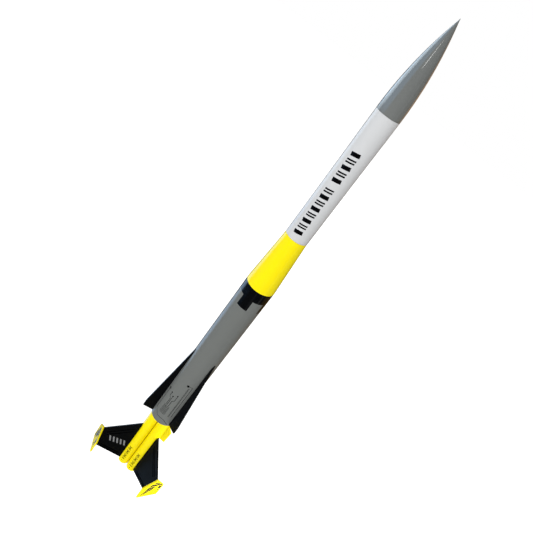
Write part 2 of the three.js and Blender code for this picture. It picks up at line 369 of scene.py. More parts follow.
def gloss_paint(name, colour, rough=0.2):
    finish = Finish(name, coat_weight=0.6, coat_roughness=0.07, specular_ior_level=0.06)
    shown, roughness, ripple = gloss_coat(finish, colour, rough)
    return finish.feed(shown, roughness, ripple, 0.005)


def black_over_wood(name, colour):
    """Satin black over filled balsa, with the grain just showing through along the panel."""
    finish = Finish(name, coat_weight=0.04, coat_roughness=0.15, specular_ior_level=0.26)
    grain = finish.noise(finish.stretch(finish.place, (28.0, 28.0, 1.6), 0.35), 26.0, 6.0, 0.65)
    pores = finish.rise(finish.noise(finish.stretch(finish.place, (90, 90, 4), 0.35), 16.0, 2.0), 0.62, 0.7)
    tone = finish.mix(grain, scaled(colour, 0.82), scaled(colour, 1.25))
    roughness = 0.27 + 0.08 * grain + 0.08 * pores
    return finish.feed(tone, roughness, grain - 0.7 * pores, 0.03, 0.6)


def film(name, colour, rough=0.22, gloss=0.3):
    """Thin trim film, glossy on the tubes and dull on the fins."""
    finish = Finish(name, coat_weight=gloss, coat_roughness=0.08, specular_ior_level=gloss * 0.6)
    grain = finish.noise(finish.place, 700.0, 2.0)
    tone = finish.mix(grain, scaled(colour, 0.85), scaled(colour, 1.2))
    return finish.feed(tone, rough + 0.06 * grain, grain, 0.004)


def paper(name, colour):
    finish = Finish(name, specular_ior_level=0.3)
    tone, roughness, height = bare_paper(finish, colour, 0.021)
    return finish.feed(tone, roughness, height, 0.06)


def card(name, colour):
    """Dense pressed card: short fibres and specks, with layers along its cut edges."""
    finish = Finish(name, specular_ior_level=0.3)
    fibre = finish.noise(finish.stretch(finish.place, (1.0, 1.0, 7.0)), 240.0, 6.0, 0.7)
    speck = finish.rise(finish.noise(finish.place, 1500.0, 1.0), 0.66, 0.72)
    tone = finish.mix(fibre, scaled(colour, 0.78), scaled(colour, 1.12))
    tone = finish.mix(0.4 * speck, tone, scaled(colour, 0.45))
    return finish.feed(tone, 0.8 + 0.12 * fibre, fibre, 0.08)


def wood(name, colour):
    finish = Finish(name, specular_ior_level=0.35)
    grain = finish.noise(finish.stretch(finish.place, (60.0, 60.0, 1.5)), 18.0, 6.0, 0.65)
    tone = finish.mix(grain, scaled(colour, 0.6), scaled(colour, 1.15))
    return finish.feed(tone, 0.5 + 0.2 * grain, grain, 0.05)


def clay(name, colour):
    """Pressed clay: coarse grains, small pits and paler dust."""
    finish = Finish(name, specular_ior_level=0.25)
    grain = finish.noise(finish.place, 900.0, 5.0, 0.7)
    pit = finish.node("ShaderNodeTexVoronoi", None, {"Vector": finish.place, "Scale": 1400.0})
    tone = finish.mix(grain, scaled(colour, 0.65), scaled(colour, 1.4))
    return finish.feed(tone, 0.85 + 0.1 * grain, grain + 0.5 * finish.rise(pit, 0.0, 0.3), 0.12)


def steel(name, colour):
    finish = Finish(name, metallic=1.0)
    drawn = finish.noise(finish.place, 1300.0, 3.0)
    tone = finish.vary(colour, 0.12, 500.0)
    return finish.feed(tone, 0.22 + 0.2 * drawn, drawn, 0.01)


def braid(name, colour):
    """Woven elastic: two sets of slanting threads that cross along the cord, with painted shade where the
    weave sinks between them.
    """
    finish = Finish(name, specular_ior_level=0.3, sheen_weight=0.25, sheen_roughness=0.5)
    across, along, _ = finish.split(finish.node("ShaderNodeUVMap", {"uv_map": "laid"}))
    one = finish.math("PINGPONG", across * 8 + along * 0.9, 0.5) * 2
    two = finish.math("PINGPONG", across * 8 - along * 0.9, 0.5) * 2
    weave = finish.math("MAXIMUM", one, two)
    fuzz = finish.noise(finish.place, 2500.0, 2.0)
    # painted shade: the cord is darker where the weave is low, in the recesses between the threads
    tone = finish.mix(weave, scaled(colour, 0.55), colour)
    tone = finish.mix(0.15 * fuzz, tone, scaled(colour, 0.7))
    return finish.feed(tone, 0.7 + 0.15 * fuzz, weave, 0.25)


def ripstop(name, colour):
    """Thin nylon with a raised thread every 4 mm each way."""
    finish = Finish(name, specular_ior_level=0.45, sheen_weight=0.2)
    across, along, _ = finish.split(finish.node("ShaderNodeUVMap", {"uv_map": "laid"}))
    one = finish.math("PINGPONG", across, 2.0)
    two = finish.math("PINGPONG", along, 2.0)
    thread = 1 - finish.rise(finish.math("MINIMUM", one, two), 0.12, 0.3)
    plain = finish.math("PINGPONG", across * 5 + along * 5, 0.5)
    tone = finish.mix(thread, colour, [min(1, part * 1.5 + 0.02) for part in colour])
    tone = finish.mix(0.2 * plain, tone, scaled(colour, 0.6))
    return finish.feed(tone, 0.42 + 0.1 * plain, thread + 0.2 * plain, 0.08)


def crepe(name, colour):
    """Crumpled crepe tissue, with painted shade along its creases."""
    finish = Finish(name, specular_ior_level=0.15, sheen_weight=0.3)
    crease = finish.node(
        "ShaderNodeTexVoronoi", {"feature": "DISTANCE_TO_EDGE"}, {"Vector": finish.place, "Scale": 260.0}
    )
    fine = finish.noise(finish.stretch(finish.place, (1.0, 3.0, 1.0)), 900.0, 4.0)
    fold = finish.rise(crease, 0.0, 0.25)
    # painted shade: the tissue is darker along the creases, where the fold is low and sunken
    tone = finish.mix(fold * 0.7 + fine * 0.3, scaled(colour, 0.72), colour)
    return finish.feed(tone, 0.9 + 0.05 * fine, fold + 0.4 * fine, 0.25)


def bare_plastic(name, colour):
    finish = Finish(name)
    haze = finish.noise(finish.place, 300.0, 4.0)
    tone = finish.vary(colour, 0.04, 40.0)
    return finish.feed(tone, 0.4 + 0.15 * haze, haze, 0.02)


# Each finish: the material slot it is for, its maker, its name, its colour and other settings.
RECIPES = {
    "lower_tube": (
        "grey_paint", painted_tube, "grey_tube", "tube_grey", LOWER_RADIUS - LOWER_WALL / 2, 0.45, True
    ),
    "upper_tube": ("white_paint", painted_tube, "white_tube", "white", UPPER_RADIUS - UPPER_WALL / 2, 0.6),
    "motor_tube": ("yellow_paint", painted_tube, "yellow_tube", "yellow", MOTOR_RADIUS - MOTOR_WALL / 2, 0.6),
    "lug": ("grey_paint", painted_tube, "grey_lug", "tube_grey", LUG_BORE + 0.1, 0.3),
    "nose": ("grey_paint", two_part, "grey_nose", "grey", "plastic", (UPPER_TOP, None), 0.2, 1.0),
    "transition": (
        "yellow_paint", two_part, "yellow_transition", "yellow", "card", (LOWER_TOP, UPPER_AFT), 0.24, 0.65
    ),
    "yellow": ("yellow_paint", gloss_paint, "yellow_gloss", "yellow", 0.24),
    "grey": ("grey_paint", gloss_paint, "grey_gloss", "tube_grey"),
    "fin": ("black_paint", black_over_wood, "black_fin", "black"),
    "strake": ("black_paint", black_over_wood, "black_strake", "black"),
    "trim": ("black_paint", film, "black_film", "trim"),
    "dull_trim": ("black_paint", film, "dull_black_film", "trim", 0.5, 0.02),
    "navy": ("black_paint", film, "navy_film", "navy"),
    "silver": ("black_paint", film, "silver_film", "silver", 0.34),
    "kraft": ("kraft_paper", paper, "kraft_casing", "kraft"),
    "card": ("card", card, "tan_card", "card"),
    "birch": ("birch", wood, "birch_rod", "birch"),
    "clay": ("clay", clay, "pressed_clay", "clay"),
    "steel": ("steel_wire", steel, "zinc_steel", "steel"),
    "elastic": ("elastic", braid, "woven_elastic", "elastic"),
    "cloth": ("chute_cloth", ripstop, "orange_ripstop", "cloth"),
    "tissue": ("tissue", crepe, "crepe_tissue", "tissue"),
    "plastic": ("nose_plastic", bare_plastic, "off_white_plastic", "plastic"),
}
FINISHES = {}


def finish_named(name):
    """A material of the rocket, made the first time it is asked for."""
    if name not in FINISHES:
        _, maker, title, colour, *settings = RECIPES[name]
        FINISHES[name] = maker(title, paint(colour), *settings)
    return FINISHES[name]


# ---- mesh tools ----


def make_piece(name, shape, finish, body="airframe", instead=None, sharp=38.0, turn=0.0, at=(0.0, 0.0)):
    """A mesh object that rides a body, from (points, faces) in millimetres and perhaps laid-out UVs.

    It is turned about Z by degrees, stands at a point of the ground plane, and may replace a node.
    """
    points, faces, *laid = shape
    mesh = bpy.data.meshes.new(name)
    mesh.from_pydata([(x * MM, y * MM, z * MM) for x, y, z in points], [], faces)
    if laid:
        layer = mesh.uv_layers.new(name="laid")
        for loop in mesh.loops:
            layer.data[loop.index].uv = laid[0][loop.vertex_index]
    else:
        work = bmesh.new()
        work.from_mesh(mesh)
        bmesh.ops.recalc_face_normals(work, faces=work.faces)
        work.to_mesh(mesh)
        work.free()
    mesh.shade_smooth()
    mesh.set_sharp_from_angle(angle=math.radians(sharp))
    mesh.materials.append(finish_named(finish))
    piece = bpy.data.objects.new(name, mesh)
    bpy.context.scene.collection.objects.link(piece)
    stand = Matrix.Translation((at[0] * MM, at[1] * MM, 0))
    piece.matrix_world = stand @ Matrix.Rotation(math.radians(turn), 4, "Z")
    if body is not None:
        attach(piece, body)
    if instead is not None:
        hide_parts(instead)
    return piece


def softened(corners, closed=True, steps=4):
    """An outline of (x, y, radius) corners with each corner rounded by its radius."""
    points = []
    count = len(corners)
    for index, (x, y, radius) in enumerate(corners):
        here = Vector((x, y))
        if radius <= 0 or (not closed and index in (0, count - 1)):
            points.append((x, y))
            continue
        before = Vector(corners[index - 1][:2]) - here
        after = Vector(corners[(index + 1) % count][:2]) - here
        reach = min(radius, 0.42 * before.length, 0.42 * after.length)
        to_before = before.normalized() * reach
        to_after = after.normalized() * reach
        points.append(tuple(here + to_before * 1.15))
        for step in range(steps + 1):
            share = step / steps
            points.append(tuple(here + to_before * (1 - share) ** 2 + to_after * share**2))
        points.append(tuple(here + to_after * 1.15))
    return points


def add_ring(points, ring):
    """Adds a ring of points to the others and gives their numbers."""
    points += ring
    return range(len(points) - len(ring), len(points))


def skin(rings, closed=False, caps=False):
    """Faces between each ring of point numbers and the next. A closed skin ends at its first ring."""
    faces = []
    for low, high in zip(rings, [*rings[1:], rings[0]] if closed else rings[1:]):
        for place in range(len(low)):
            after = (place + 1) % len(low)
            corners = tuple(dict.fromkeys((low[place], low[after], high[after], high[place])))
            if len(corners) > 2:
                faces.append(corners)
    if caps:
        faces += [tuple(reversed(rings[0])), tuple(rings[-1])]
    return faces


def turned(profile, sides=None, closed=True):
    """A profile of (radius, height) points turned about Z. It goes up the outside."""
    sides = sides or sizes().sides
    points, rings = [], []
    for radius, height in profile:
        if radius < 1e-6:
            rings.append(list(add_ring(points, [(0.0, 0.0, height)])) * sides)
        else:
            ring = [(*polar(radius, TURN * side / sides), height) for side in range(sides)]
            rings.append(add_ring(points, ring))
    return points, skin(rings, closed)


def wall(outer, inner, bottom, top, edge=None, sides=None):
    """A tube with softened ends."""
    edge = size("tube_edge") if edge is None else edge
    edge = min(edge, (outer - inner) * 0.45)
    corners = [(outer, bottom, edge), (outer, top, edge), (inner, top, edge), (inner, bottom, edge)]
    return turned(softened(corners), sides)


def inset(corners, amount):
    """The outline moved inwards by an amount. Its corners run anticlockwise."""
    moved = []
    for index, (x, y, radius) in enumerate(corners):
        here = Vector((x, y))
        before = (here - Vector(corners[index - 1][:2])).normalized()
        after = (Vector(corners[(index + 1) % len(corners)][:2]) - here).normalized()
        first = Vector((-before.y, before.x))
        second = Vector((-after.y, after.x))
        shift = (first + second) * (amount / (1 + first.dot(second)))
        moved.append((x + shift.x, y + shift.y, max(radius - amount, 0.05)))
    return moved


def board(corners, thickness, edge, steps=4):
    """A flat panel in the XZ plane with its edge rounded; corners are (x, z, radius)."""
    half = thickness / 2
    levels = [(edge * 1.3, half), (edge * 1.12, half)]
    for step in range(steps + 1):
        angle = math.pi / 2 * step / steps
        levels.append((edge * (1 - math.sin(angle)), half - edge * (1 - math.cos(angle))))
    levels += [(amount, -height) for amount, height in reversed(levels)]
    points, rings = [], []
    for amount, height in levels:
        outline = softened(inset(corners, amount))
        rings.append(add_ring(points, [(x, -height, z) for x, z in outline]))
    return points, skin(rings, caps=True)


def swept(line, radius, sides=16, closed=False):
    """A round bar along a line of points; radius is a number or a function of the share."""
    line = [Vector(point) for point in line]
    count = len(line)
    points, rings, uvs = [], [], []
    heading = (line[1] - line[0]).normalized()
    side_way = heading.orthogonal().normalized()
    gone = 0.0
    for index, here in enumerate(line):
        ahead = line[min(index + 1, count - 1)] - line[max(index - 1, 0)]
        if closed:
            ahead = line[(index + 1) % count] - line[index - 1]
        ahead.normalize()
        side_way = (side_way - ahead * side_way.dot(ahead)).normalized()
        up_way = ahead.cross(side_way)
        gone += (here - line[index - 1]).length if index else 0.0
        reach = radius(index / (count - 1)) if callable(radius) else radius
        ring = []
        for side in range(sides):
            angle = TURN * side / sides
            ring.append(here + reach * (math.cos(angle) * side_way + math.sin(angle) * up_way))
            uvs.append((side / sides, gone))
        rings.append(add_ring(points, ring))
    return points, skin(rings, closed, not closed), uvs


def smooth_line(knots, step=1.0):
    """Points about a step apart on a smooth curve through the knots."""
    knots = [Vector(knot) for knot in knots]
    line = []
    for index in range(len(knots) - 1):
        a = knots[max(index - 1, 0)]
        b, c = knots[index], knots[index + 1]
        d = knots[min(index + 2, len(knots) - 1)]
        pieces = max(1, round((c - b).length / step))
        for piece in range(pieces):
            t = piece / pieces
            cubic = (2 * a - 5 * b + 4 * c - d) * t**2 + (3 * b - a - 3 * c + d) * t**3
            line.append(0.5 * (2 * b + (c - a) * t + cubic))
    line.append(knots[-1])
    return line


def relaxed(line, rounds):
    """The line with its bends eased; its ends stay."""
    for _ in range(rounds):
        inner = [(before + 2 * here + after) / 4 for before, here, after in zip(line, line[1:], line[2:])]
        line = [line[0], *inner, line[-1]]
    return line


# ---- thin film laid on the surfaces ----


def stroke(line, width):
    """Left and right points of a line of a width, mitred at its bends."""
    line = [Vector(point) for point in line]
    pairs = []
    for index, here in enumerate(line):
        before = (here - line[index - 1]).normalized() if index else None
        after = (line[index + 1] - here).normalized() if index + 1 < len(line) else before
        before = before or after
        first = Vector((-before.y, before.x))
        second = Vector((-after.y, after.x))
        shift = (first + second) * (width / 2 / (1 + first.dot(second)))
        pairs.append((here + shift, here - shift))
    return pairs


def block(*corners):
    """A four-cornered block, as its near and far pairs of corners."""
    a, b, c, d = (Vector(corner) for corner in corners)
    return [(a, b), (d, c)]


def dot(centre, radius, steps=14):
    """A round spot."""
    x, y = centre
    pairs = []
    for step in range(steps + 1):
        angle = math.pi * (0.02 + 0.96 * step / steps)
        across = radius * math.sin(angle)
        rise = y - radius * math.cos(angle)
        pairs.append((Vector((x - across, rise)), Vector((x + across, rise))))
    return pairs


def laid_film(strips, place, step=0.9):
    """Closed thin slabs over strips of point pairs; place puts (across, along, lift) in space."""
    lift = size("film")
    points, faces = [], []
    for strip in strips:
        rows = [strip[0]]
        for near, far in zip(strip, strip[1:]):
            reach = max((far[0] - near[0]).length, (far[1] - near[1]).length)
            parts = max(1, math.ceil(reach / 2.5))
            for part in range(1, parts + 1):
                share = part / parts
                rows.append((near[0].lerp(far[0], share), near[1].lerp(far[1], share)))
        wide = max((left - right).length for left, right in rows)
        columns = max(1, math.ceil(wide / step))
        start = len(points)
        for height in (lift, -lift):
            for left, right in rows:
                for column in range(columns + 1):
                    spot = left.lerp(right, column / columns)
                    points.append(place(spot.x, spot.y, height))
        layer = len(rows) * (columns + 1)

        def at(row, column, low=0):
            return start + low * layer + row * (columns + 1) + column

        for row in range(len(rows) - 1):
            for column in range(columns):
                quad = (at(row, column), at(row + 1, column), at(row + 1, column + 1), at(row, column + 1))
                faces.append(quad)
                faces.append(tuple(index + layer for index in reversed(quad)))
        rim = [(0, column) for column in range(columns)]
        rim += [(row, columns) for row in range(len(rows) - 1)]
        rim += [(len(rows) - 1, column) for column in range(columns, 0, -1)]
        rim += [(row, 0) for row in range(len(rows) - 1, 0, -1)]
        for index, (row, column) in enumerate(rim):
            after = rim[(index + 1) % len(rim)]
            faces.append((at(row, column), at(*after), at(*after, 1), at(row, column, 1)))
    return points, faces


def on_cylinder(radius, middle):
    """Places film round a tube; across is measured along the surface from an angle in degrees."""

    def place(across, along, lift):
        angle = math.radians(middle) + across / radius
        return (*polar(radius + lift, angle), along)

    return place


def hatch(left, right, bottom, top, gap, width):
    """Level bars between two sides."""
    count = int((top - bottom) / gap) + 1
    rows = [bottom + gap * index for index in range(count)]
    return [stroke([(left, row), (right, row)], width) for row in rows]


# ---- the pieces ----


class BuildPiece(bpy.types.Operator):
    """What the rocket's operators share. Each has its own build method."""

    bl_options = {"REGISTER", "UNDO"}

    def execute(self, context):
        self.build()
        return {"FINISHED"}


class ROCKET_OT_stage(BuildPiece):
    """Camera, pale floor and soft studio light"""

    bl_idname = "rocket.stage"
    bl_label = "Camera, floor and light"

    def build(self):
        scene = bpy.context.scene
        scene.view_settings.view_transform = "Standard"
        place_camera(scene)
        pale_floor()
        studio_light()
        studio_surroundings(scene)


def place_camera(scene):
    stand = Vector((0.113332, -0.706728, 0.853837))
    aim = Vector((-0.009116, -0.001388, 0.472813))
    tilt = 0.6368
    ahead = (aim - stand).normalized()
    level = ahead.cross(Vector((0, 0, 1))).normalized()
    above = level.cross(ahead)
    across = math.cos(tilt) * level + math.sin(tilt) * above
    upward = -math.sin(tilt) * level + math.cos(tilt) * above
    data = bpy.data.cameras.new("camera")
    data.lens = 39.72
    data.sensor_width = 36.0
    data.clip_start = 0.01
    data.clip_end = 50.0
    camera = bpy.data.objects.new("camera", data)
    scene.collection.objects.link(camera)
    turn = Matrix((across, upward, -ahead)).transposed()
    camera.matrix_world = Matrix.Translation(stand) @ turn.to_4x4()
    scene.camera = camera


def pale_floor():
    mesh = bpy.data.meshes.new("floor")
    work = bmesh.new()
    bmesh.ops.create_grid(work, x_segments=24, y_segments=24, size=6.0)
    work.to_mesh(mesh)
    work.free()
    finish = Finish("pale_floor", roughness=0.9, specular_ior_level=0.0, emission_strength=0.86)
    finish.join((1.0, 1.0, 1.0), finish.shader.inputs["Emission Color"])
    finish.join((0.55, 0.55, 0.55), finish.shader.inputs["Base Color"])
    finish.material.cycles.emission_sampling = "NONE"
    mesh.materials.append(finish.material)
    floor = bpy.data.objects.new("floor", mesh)
    bpy.context.scene.collection.objects.link(floor)
    floor.location.z = FLOOR
    floor.visible_glossy = False


def studio_light():
    """Large soft lamps, a small one for the tail, and a narrow one that the nose mirrors."""
    # name, height it looks at, angle round Z, rise, distance, width, height, power and colour
    lamps = (
        ("key_lamp", 0.42, -104.0, 16.0, 3.2, 2.0, 2.0, 53.0, (0.985, 0.995, 1.0)),
        ("fill_lamp", 0.42, -40.0, 14.0, 3.0, 2.0, 2.0, 9.0, (1.0, 0.96, 0.88)),
        ("back_lamp", 0.42, 95.0, 30.0, 3.0, 2.0, 2.0, 34.0, (1.0, 1.0, 1.0)),
        ("tail_lamp", 0.04, 2.0, 0.0, 0.14, 0.08, 0.06, 0.26, (1.0, 0.99, 0.97)),
        ("nose_lamp", 0.80, -89.5, 16.8, 3.1, 0.42, 0.68, 6.2, (1.0, 1.0, 0.98)),
    )
    for name, height, around, rise, distance, wide, tall, power, colour in lamps:
        data = bpy.data.lights.new(name, "AREA")
        data.shape = "ELLIPSE"
        data.size = wide
        data.size_y = tall
        data.energy = power
        data.color = colour
        lamp = bpy.data.objects.new(name, data)
        bpy.context.scene.collection.objects.link(lamp)
        turn, lift = math.radians(around), math.radians(rise)
        away = Vector((math.cos(turn) * math.cos(lift), math.sin(turn) * math.cos(lift), math.sin(lift)))
        lamp.location = Vector((0.0, 0.0, height)) + away * distance
        lamp.rotation_euler = away.to_track_quat("Z", "Y").to_euler()
        lamp.visible_glossy = name == "nose_lamp"
        lamp.visible_camera = False


def studio_surroundings(scene):
    """White behind the rocket, with tall soft panels round it for the paint to mirror."""
    world = bpy.data.worlds.new("studio")
    world.use_nodes = True
    world.cycles.sampling_method = "NONE"
    scene.world = world
    made = world.node_tree
    tree = Tree(made.nodes, made.links)
    direction = tree.node("ShaderNodeTexCoord", None, None, "Generated")
    x, y, z = tree.split(direction)
    level = tree.math("SQRT", x * x + y * y + 0.0001)

    def panel(around, half, soft, low, high):
        """1 towards a tall panel that stands at an angle between two heights, and 0 away from it."""
        angle = math.radians(around)
        facing = (x * math.cos(angle) + y * math.sin(angle)) / level
        inside = tree.rise(facing, math.cos(math.radians(half + soft)), math.cos(math.radians(half)))
        return inside * tree.rise(z, low - 0.08, low) * (1 - tree.rise(z, high, high + 0.08))

    mirrored = (0.030, 0.031, 0.033)
    # angle round Z, half width, softness, lowest and highest direction, and colour
    panels = (
        (-150.0, 24.0, 40.0, -2.0, -0.64, (0.040, 0.041, 0.041)),
        (-162.0, 34.0, 14.0, -0.56, -0.15, (0.05, 0.10, 0.17)),
        (-172.0, 44.0, 16.0, -0.12, 2.0, (0.42, 0.90, 1.50)),
        (160.0, 18.0, 4.0, -2.0, -0.34, (1.1, 1.6, 2.3)),
        (163.0, 19.0, 4.0, -0.30, -0.08, (2.0, 2.5, 3.0)),
        (166.0, 21.0, 6.0, -0.08, 2.0, (3.2, 4.0, 4.8)),
        (-66.0, 2.4, 1.5, -2.0, 2.0, (0.22, 0.23, 0.24)),
        (-13.0, 2.0, 1.5, -2.0, 2.0, (0.50, 0.50, 0.47)),
        (20.0, 8.0, 3.0, -2.0, 2.0, (0.22, 0.15, 0.06)),
        (62.0, 22.0, 12.0, -2.0, -0.16, (0.16, 0.09, 0.02)),
        (72.0, 26.0, 10.0, -0.12, 2.0, (0.55, 0.30, 0.11)),
    )
    for around, half, soft, low, high, colour in panels:
        mirrored = tree.mix(panel(around, half, soft, low, high), mirrored, colour)
    path = tree.node("ShaderNodeLightPath").socket.node.outputs
    glossy = Wire(tree, path["Is Glossy Ray"])
    seen = Wire(tree, path["Is Camera Ray"])
    colour = tree.mix(glossy, (0.30, 0.305, 0.315), mirrored)
    colour = tree.mix(seen, colour, (1.0, 1.0, 1.0))
    tree.join(colour, made.nodes["Background"].inputs["Color"])


class ROCKET_OT_shock_cord(BuildPiece):
    """Elastic shock cord from its anchor to the screw eye"""

    bl_idname = "rocket.shock_cord"
    bl_label = "Shock cord"

    def build(self):
        thick = size("cord")
        anchor_foot = lowest("shock_cord_mount")[2]
        coil_foot = lowest("shock_cord_coil")[2] + thick / 2 + 0.15
        coil_radius = 12.2
        turns = sizes().cord_turns
        line = [
            (-15.05, 0.0, anchor_foot - 0.2),
            (-14.98, 0.3, anchor_foot - 5.0),
            (-14.95, 0.4, coil_foot + 11.0),
            (-14.9, -0.6, coil_foot + 6.0),
            (-14.2, -3.4, coil_foot + 2.2),
        ]
        per_turn = 28
        for step in range(4, turns * per_turn + 6):
            angle = math.pi + TURN * step / per_turn
            ease = min(1.0, (step - 4) / 8)
            radius = coil_radius + 1.9 * (1 - ease) ** 2
            climb = thick * 1.02 * max(0, step - 6) / per_turn
            line.append((*polar(radius, angle), coil_foot + climb))
        top = line[-1][2]
        line += [
            (-1.8, -11.8, top + 1.0),
            (1.2, -11.2, top + 3.6),
            (2.4, -9.4, top + 8.2),
            (2.1, -6.6, top + 14.0),
            (1.2, -3.6, top + 20.0),
            (0.4, -1.2, EYE_CENTRE - 9.0),
            (0.0, 0.0, EYE_CENTRE - 5.2),
        ]
        path = relaxed(smooth_line(line, 1.2), 10)
        cord = make_piece("shock_cord", swept(path, thick / 2, 14), "elastic", None)
        run = sum((after - here).length for here, after in zip(path, path[1:]))
        middle = EYE_CENTRE - 3.6
        loop = []
        for step in range(40):
            angle = TURN * step / 40
            loop.append((0.25 * math.sin(angle * 2), 1.9 * math.cos(angle), middle + 2.1 * math.sin(angle)))
        knot = make_piece("cord_loop", swept(loop, 0.95, 12, True), "elastic", "nose")
        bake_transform(cord)
        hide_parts("shock_cord_coil", "shock_cord_lead")
        tuple(value * MM for value in line[0])
        thick * MM
        [tuple(value * MM for value in point) for point in path]


class ROCKET_OT_body_tubes(BuildPiece):
    """Grey lower tube with its black band, and white upper tube"""

    bl_idname = "rocket.body_tubes"
    bl_label = "Body tubes"

    def build(self):
        lower = wall(LOWER_RADIUS, LOWER_RADIUS - LOWER_WALL, LOWER_AFT, LOWER_TOP)
        make_piece("lower_tube", lower, "lower_tube", instead="lower_body_tube")
        upper = wall(UPPER_RADIUS, UPPER_RADIUS - UPPER_WALL, UPPER_AFT, UPPER_TOP)
        make_piece("upper_tube", upper, "upper_tube", instead="upper_body_tube")


class ROCKET_OT_transition(BuildPiece):
    """Yellow cone between the two tubes"""

    bl_idname = "rocket.transition"
    bl_label = "Transition"

    def build(self):
        low, high = lowest("transition")[2], highest("transition")[2]
        lower_fit, bore = LOWER_RADIUS - 1.0, 14.2
        corners = [
            (lower_fit, low, 0.8),
            (lower_fit, LOWER_TOP + 0.3, 0.1),
            (LOWER_RADIUS, LOWER_TOP + 0.15, 0.25),
            (LOWER_RADIUS, LOWER_TOP + 3.0, 0.7),
            (UPPER_RADIUS, UPPER_AFT - 3.0, 1.4),
            (UPPER_RADIUS, UPPER_AFT - 0.15, 0.25),
            (UPPER_FIT, UPPER_AFT - 0.3, 0.1),
            (UPPER_FIT, high, 0.7),
            (bore, high, 0.5),
            (bore, UPPER_AFT - 3.0, 1.0),
            (bore + 4.5, LOWER_TOP + 3.0, 1.0),
            (bore + 4.5, low, 0.5),
        ]
        make_piece("yellow_cone", turned(softened(corners)), "transition", instead="transition")


def ogive(height):
    """Radius of the nose at a height above its base."""
    reach = NOSE_TIP - UPPER_TOP - 0.3
    arc = (UPPER_RADIUS**2 + reach**2) / (2 * UPPER_RADIUS)
    return math.sqrt(arc * arc - height * height) + UPPER_RADIUS - arc


class ROCKET_OT_nose(BuildPiece):
    """Grey nose cone with its shoulder, base plug and screw eye"""

    bl_idname = "rocket.nose"
    bl_label = "Nose"

    def build(self):
        self.shell()
        self.plug()
        self.eye()

    def shell(self):
        base = UPPER_TOP + 0.15
        reach = NOSE_TIP - UPPER_TOP - 0.3
        inside = UPPER_FIT - 1.6
        corners = [(UPPER_FIT, NOSE_FOOT, 0.7), (UPPER_FIT, base + 0.1, 0.1), (UPPER_RADIUS, base, 0.3)]
        profile = softened([*corners, (ogive(3.0), base + 3.0, 0)], closed=False)[1:-1]
        profile = [(UPPER_FIT - 0.25, NOSE_FOOT + 0.2), (UPPER_FIT, NOSE_FOOT + 0.9), *profile]
        rows = 72
        cap = 2.2  # the rounded tip
        for row in range(rows + 1):
            height = 1.2 + (reach - cap - 1.2) * math.sin(math.pi / 2 * row / rows)
            profile.append((ogive(height), base + 0.15 + height))
        last_radius, last_height = profile[-1]
        for step in range(1, 8):
            angle = math.pi / 2 * step / 8
            profile.append((last_radius * math.cos(angle), last_height + cap * math.sin(angle)))
        inner_top = reach * 0.84
        profile += [(0.0, NOSE_TIP), (0.0, base + inner_top)]
        for row in range(16, -1, -1):
            height = inner_top * row / 16
            profile.append((max(0.3, min(inside, ogive(height) - 1.6)), base + height))
        profile += [(inside, NOSE_FOOT + 0.3), (inside + 0.3, NOSE_FOOT), (UPPER_FIT - 0.7, NOSE_FOOT)]
        make_piece("nose_shell", turned(profile), "nose", "nose", "nose_cone")

    def plug(self):
        foot, top = lowest("nose_base_plug")[2], highest("nose_base_plug")[2]
        radius = highest("nose_base_plug")[0]
        corners = [
            (1.2, foot, 0.2),
            (radius, foot, 0.6),
            (radius, top, 0.3),
            (radius - 1.6, top, 0.3),
            (radius - 1.6, foot + 2.5, 0.6),
            (1.2, foot + 2.5, 0.2),
        ]
        make_piece("base_plug", turned(softened(corners), 96), "plastic", "nose", "nose_base_plug")

    def eye(self):
        line = []
        bent, steps = 49, 150  # points round the ring, and steps up the threaded shank
        for step in range(bent):
            angle = math.radians(128 + 322 * step / (bent - 1))
            line.append((EYE_RING * math.cos(angle), 0.0, EYE_CENTRE + EYE_RING * math.sin(angle)))
        neck = EYE_CENTRE + EYE_RING
        top = highest("screw_eye")[2]
        line += [(0.0, 0.0, neck + 0.5 + (top - neck - 0.5) * step / steps) for step in range(steps + 1)]
        total = len(line)

        def reach(share):
            place = share * (total - 1) - bent
            if place < 10:
                return EYE_WIRE
            thread = 0.09 * math.cos(TURN * place / 15)
            point = min(1.0, (total - 1 - bent - place) / 14)
            return (EYE_WIRE - 0.09 + thread) * max(0.12, point)

        make_piece("eye_screw", swept(line, reach, 18)[:2], "steel", "nose", "screw_eye", 60.0)


class ROCKET_OT_motor_cluster(BuildPiece):
    """Three motor tubes with their casings and nozzles, the rod between them and their rings"""

    bl_idname = "rocket.motor_cluster"
    bl_label = "Motor cluster"

    def build(self):
        for number, around in SETS:
            self.motor(number, around)
        top = highest("cluster_core_rod")[2]
        rod = turned(softened([(0, 0, 0), (1.2, 0, 0.25), (1.2, top, 0.25), (0, top, 0)], False), 32, False)
        make_piece("core_rod", rod, "birch", instead="cluster_core_rod")
        for node in ("aft_cluster_ring", "forward_cluster_ring"):
            give_finish(node, "card")

    def motor(self, number, around):
        at = polar(MOTOR_AXIS, math.radians(around))
        tube = wall(MOTOR_RADIUS, MOTOR_RADIUS - MOTOR_WALL, 0.0, MOTOR_TOP, 0.14, 128)
        make_piece(f"motor_pod_{number}", tube, "motor_tube", instead=f"motor_tube_{number}", at=at)
        give_finish(f"thrust_ring_{number}", "card")
        body = f"motor_{number}"
        node = f"motor_casing_{number}"
        outer, inner = 8.7, 6.3
        casing = wall(outer, inner, lowest(node)[2], highest(node)[2], 0.5, 112)
        make_piece(f"casing_{number}", casing, "kraft", body, node, at=at)
        node = f"motor_nozzle_{number}"
        foot, top = lowest(node)[2], highest(node)[2]
        plug, throat = inner - 0.02, 1.6
        corners = [
            (plug, foot, 0.3),
            (plug, top, 0.3),
            (3.0, top, 0.4),
            (throat, top - 2.5, 0.8),
            (throat, foot + 4.0, 1.2),
            (3.6, foot, 0.5),
        ]
        make_piece(f"nozzle_{number}", turned(softened(corners, steps=6), 96), "clay", body, node, at=at)


def give_finish(node, finish):
    """A better material on a CAD node that stays."""
    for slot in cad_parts[node].material_slots:
        slot.material = finish_named(finish)


